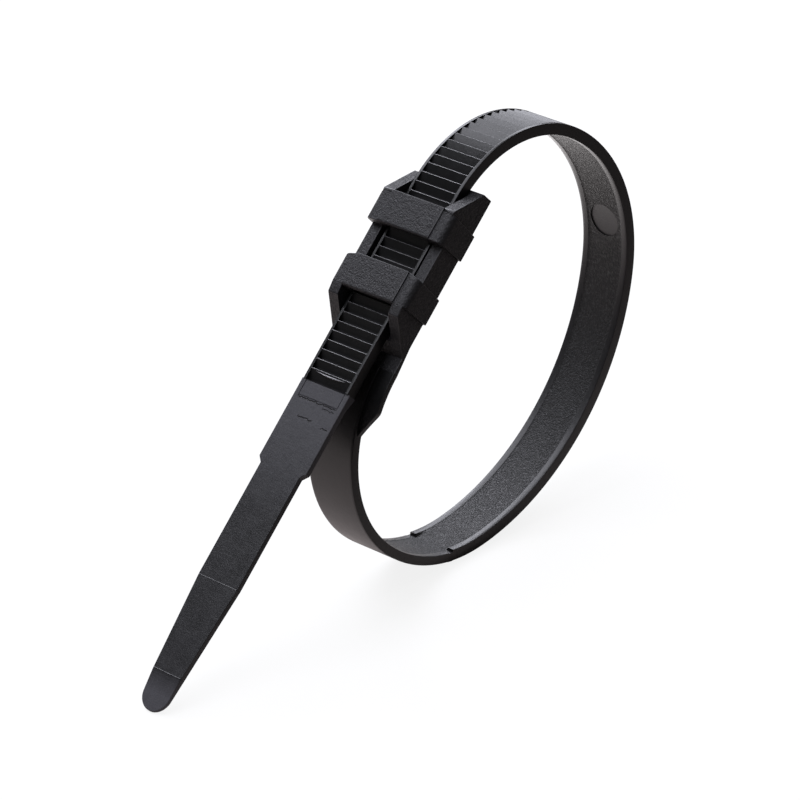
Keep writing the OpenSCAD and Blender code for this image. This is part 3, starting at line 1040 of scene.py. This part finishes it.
class TIE_OT_pawls(Operator):
    """Models the springy pawls under the bridges, with teeth that sit in the strap's"""

    bl_idname = "tie.pawls"
    bl_label = "Pawls"

    def execute(self, context):
        scene, loop, matrix = current()
        head, strap = scene.tie_head, scene.tie_strap
        gap, thickness, long = mm(head.gap), mm(head.pawl), mm(head.bridge)
        pitch, crest, play = mm(strap.pitch), mm(strap.crest), mm(head.pawl_play)
        half = mm(strap.width) / 2 - 2 * gap
        teeth_half = mm(strap.width) / 2 - mm(strap.rim) - gap
        reach = mm(strap.depth) - play
        slope = mm(strap.depth) / (pitch - crest)
        buried = mm(head.buried)
        bm = bmesh.new()
        for start in (mm(head.exit_bridge), mm(head.entry_bridge)):
            tongue = block((start + gap, -half, gap), (start + long - buried, half, gap + thickness))
            soften_corners(tongue, mm(head.pawl_edge), test=lambda x, y, z: x < start + long / 4)
            take_in(bm, tongue)
            first = int((start + gap - crest) // pitch) + 1
            for k in (first, first + 1):
                face = k * pitch + crest + play
                back = face + (reach + gap) / slope
                middle = gap + thickness / 2
                outline = [(face, -reach), (face, middle), (back, middle), (back, gap)]
                take_in(bm, plate_of(outline, Y, -teeth_half, teeth_half))
            root = block(
                (start + long - mm(head.pawl_root), -half - gap, gap),
                (start + long - buried / 2, half + gap, gap + thickness + gap + buried),
            )
            take_in(bm, root)
        finished(bm, "pawls", [smooth_nylon()], matrix)
        return {"FINISHED"}


# Places of the two fine ridges across the tail
RIDGES = (-34.6, -49.7)
# Half the length of the flat that the rounding leaves at the tip
TIP_FLAT = 0.01


class TIE_OT_tail(Operator):
    """Models the tail: wide first stretch, step, long taper and bevelled round tip"""

    bl_idname = "tie.tail"
    bl_label = "Tail"

    def execute(self, context):
        scene, loop, matrix = current()
        tail, strap = scene.tie_tail, scene.tie_strap
        lead, end = -mm(strap.lead), -mm(tail.length)
        top = -mm(tail.drop)
        bottom = top - mm(tail.thickness)
        wide, slim, tip = mm(tail.grip_width) / 2, mm(tail.width) / 2, mm(tail.tip)
        step = -mm(tail.grip_length)
        outline = [
            (lead, wide), (step, wide), (step - mm(tail.step), slim), (-mm(tail.taper), slim),
            (end + tip, tip), (end, tip), (end, -tip), (end + tip, -tip),
            (-mm(tail.taper), -slim), (step - mm(tail.step), -slim), (step, -wide), (lead, -wide),
        ]
        bm = plate_of(outline, Z, bottom, top)
        tip_corners = edges_along(bm, Z, lambda x, y, z: near(x, end))
        soften(bm, tip_corners, tip - TIP_FLAT, 10)
        bmesh.ops.remove_doubles(bm, verts=bm.verts, dist=TIP_FLAT / 2)
        rim = [e for e in edges_at(bm, lambda x, y, z: near(z, top)) if not near(e.calc_length(), 2 * wide)]
        soften(bm, rim, mm(tail.edge), 2)
        under = lead - mm(tail.under)
        slope = end + mm(tail.bevel)
        cut(bm, X, under, slope)
        side = mm(tail.ridge)
        for ridge in RIDGES:
            cut(bm, X, ridge - side, ridge, ridge + side)
            for v in bm.verts:
                if near(v.co.x, ridge) and near(v.co.z, top):
                    v.co.z += mm(tail.ridge_height)
        for v in bm.verts:
            if v.co.x < slope and v.co.z > (top + bottom) / 2:
                v.co.z -= (mm(tail.thickness) - mm(tail.tip_thickness)) * (slope - v.co.x) / (slope - end)
            if near(v.co.x, lead) and near(v.co.z, bottom):
                v.co.z = -mm(strap.thickness) + mm(strap.edge)
        panel_end = -mm(tail.panel)
        panel_half = mm(strap.width) / 2 - mm(strap.rim)
        cut(bm, Y, -panel_half, panel_half)
        cut(bm, X, panel_end)
        panel = faces_at(bm, lambda x, y, z: near(z, top) and x > panel_end and abs(y) < panel_half)
        groove = mm(tail.groove)
        for depth in (-mm(tail.groove_depth), mm(tail.panel_rise)):
            bmesh.ops.inset_region(bm, faces=panel, thickness=groove, depth=depth, use_even_offset=True)
        finished(bm, "tail", [tail_nylon()], matrix)
        return {"FINISHED"}


# Studio

# Name, place, width and height, and power of each lamp, in metres and watts
LAMPS = (
    ("overhead light", (-0.2, 0.25, 1.1), (0.9, 0.9), 7),
    ("upper back light", (0.15, 0.95, 0.9), (0.9, 0.6), 6.2),
    ("back light", (0.83, 0.83, 0.72), (1.1, 0.6), 10.4),
)
LAMP_TARGET = (0, 0, 0.03)
LAMP_COLOR = (0.96, 0.97, 1.06)
CAMERA_TARGET = (0.003156, 0, 0.028479)
SENSOR_WIDTH = 36
FLOOR_REACH = 3

# Zones of the floor, as places behind or beside the tie or distances from its middle, in millimetres
FRONT_TO_BACK = (-50, 20)
GLOW_BEHIND = (10, 90)
GLOW_BESIDE = (0, 60)
FALL_OFF = (100, 300)
HORIZON = (300, 900)
# Share of its light that the floor keeps far from the tie
FAR_LIGHT = 0.3
# Brightness that the floor has to the camera near the tie, before any light falls on it
FLOOR_WHITE = 0.86


def area_light(name, at, size, power):
    """A soft rectangular light that faces the tie."""
    data = bpy.data.lights.new(name, "AREA")
    data.shape = "RECTANGLE"
    data.size, data.size_y = size
    data.energy = power
    data.color = LAMP_COLOR
    light = bpy.data.objects.new(name, data)
    bpy.context.scene.collection.objects.link(light)
    light.location = at
    light.rotation_euler = (Vector(LAMP_TARGET) - Vector(at)).to_track_quat("-Z", "Y").to_euler()


@finish
def pale_floor(f):
    """Matt white floor that keeps the tie's soft shadow."""
    studio = bpy.context.scene.tie_studio
    seen = f.node("ShaderNodeLightPath", out="Is Camera Ray")
    # The floor in front of the tie is shaded from the lights that its sides would reflect
    where = f.place()
    behind = f.part(where, Y)
    away = f.node("ShaderNodeVectorMath", {"operation": "LENGTH"}, {0: where}, "Value")
    fall = 1 - f.ramp(away, *FALL_OFF)
    lit = f.ramp(behind, *FRONT_TO_BACK) * (FAR_LIGHT + (1 - FAR_LIGHT) * fall)
    reflected = f.blend(lit, tinted(studio.bounce, studio.front_shade), studio.bounce)
    f.surface(Base_Color=f.blend(seen, reflected, studio.floor), Roughness=1.0, Specular_IOR_Level=0.0)
    # Behind the tie the floor is brightly lit, up to where the light falls off
    bright = f.ramp(behind, *GLOW_BEHIND) * f.ramp(f.part(where, X), *GLOW_BESIDE) * fall
    white = FLOOR_WHITE + (1 - FLOOR_WHITE) * f.ramp(away, *HORIZON)
    strength = white * seen + studio.back_glow * bright * (1 - seen)
    glow = f.node("ShaderNodeEmission", {}, {"Color": (1, 1, 1, 1), "Strength": strength}, "Emission")
    matt = Wire(f, f.nodes["Principled BSDF"].outputs[0])
    both = f.node("ShaderNodeAddShader", {}, {0: glow, 1: matt})
    f.feed(f.nodes["Material Output"].inputs["Surface"], both)


def soft_room(studio):
    """A world that lights the tie faintly from all sides and is white to the camera."""
    world = bpy.data.worlds.new("soft room")
    f = Finish(world)
    seen = f.node("ShaderNodeLightPath", out="Is Camera Ray")
    background = f.nodes["Background"]
    f.feed(background.inputs["Strength"], studio.room + (1 - studio.room) * seen)
    f.feed(background.inputs["Color"], (1, 1, 1, 1))
    return world


def camera_at(studio):
    """The camera, at the angle that the studio's settings give."""
    data = bpy.data.cameras.new("camera")
    data.lens = studio.lens
    data.sensor_width = SENSOR_WIDTH
    data.sensor_fit = "HORIZONTAL"
    data.clip_start = 0.01
    camera = bpy.data.objects.new("camera", data)
    turn, up = studio.azimuth, studio.elevation
    back = Vector((sin(turn) * cos(up), -cos(turn) * cos(up), sin(up)))
    facing = back.to_track_quat("Z", "Y").to_matrix() @ Matrix.Rotation(studio.roll, 3, "Z")
    place = Vector(CAMERA_TARGET) + back * studio.distance
    camera.matrix_world = Matrix.Translation(place) @ facing.to_4x4()
    return camera


class TIE_OT_studio(Operator):
    """Sets up the floor, the soft lights and the camera"""

    bl_idname = "tie.studio"
    bl_label = "Studio"

    def execute(self, context):
        scene = context.scene
        bm = bmesh.new()
        bmesh.ops.create_grid(bm, x_segments=1, y_segments=1, size=FLOOR_REACH)
        mesh = bpy.data.meshes.new("floor")
        bm.to_mesh(mesh)
        bm.free()
        mesh.materials.append(pale_floor())
        floor = bpy.data.objects.new("floor", mesh)
        scene.collection.objects.link(floor)

        for lamp in LAMPS:
            area_light(*lamp)
        scene.world = soft_room(scene.tie_studio)
        scene.camera = camera_at(scene.tie_studio)
        scene.collection.objects.link(scene.camera)
        scene.view_settings.view_transform = "Standard"
        return {"FINISHED"}


# The panel and what it shows

class TIE_PT_panel(Panel):
    """Sizes and pieces of the cable tie"""

    bl_idname = "TIE_PT_panel"
    bl_label = "Cable tie"
    bl_space_type = "VIEW_3D"
    bl_region_type = "UI"
    bl_category = "Cable tie"

    def draw(self, context):
        for title, sizes, operators in SECTIONS:
            box = self.layout.box()
            box.label(text=title)
            values = getattr(context.scene, sizes)
            for name in values.__annotations__:
                box.prop(values, name)
            for operator in operators:
                box.operator(operator.bl_idname)


SECTIONS = (
    ("Strap", "tie_strap", (TIE_OT_strap, TIE_OT_bead)),
    ("Head", "tie_head", (TIE_OT_neck, TIE_OT_head, TIE_OT_pawls)),
    ("Tail", "tie_tail", (TIE_OT_tail,)),
    ("Finishes", "tie_finish", ()),
    ("Studio", "tie_studio", (TIE_OT_studio,)),
)
GROUPS = {
    "tie_strap": TieStrap, "tie_head": TieHead, "tie_tail": TieTail,
    "tie_finish": TieFinish, "tie_studio": TieStudio,
}
OPERATORS = [operator for section in SECTIONS for operator in section[2]]


def register():
    """Adds the settings, the operators and the panel to Blender."""
    for name, group in GROUPS.items():
        bpy.utils.register_class(group)
        setattr(bpy.types.Scene, name, PointerProperty(type=group))
    for kind in (*OPERATORS, TIE_PT_panel):
        bpy.utils.register_class(kind)


def unregister():
    """Takes the settings, the operators and the panel out of Blender."""
    for kind in (TIE_PT_panel, *reversed(OPERATORS)):
        bpy.utils.unregister_class(kind)
    for name, group in GROUPS.items():
        delattr(bpy.types.Scene, name)
        bpy.utils.unregister_class(group)


def plain(bounds):
    """A pair of corners as plain lists of numbers."""
    return [[float(v) for v in corner] for corner in bounds]


def main():
    """Models the tie and its studio."""
    register()
    bpy.ops.tie.strap()
    bpy.ops.tie.bead()
    bpy.ops.tie.neck()
    bpy.ops.tie.head()
    bpy.ops.tie.pawls()
    bpy.ops.tie.tail()
    bpy.ops.tie.studio()


if __name__ == "__main__":
    main()
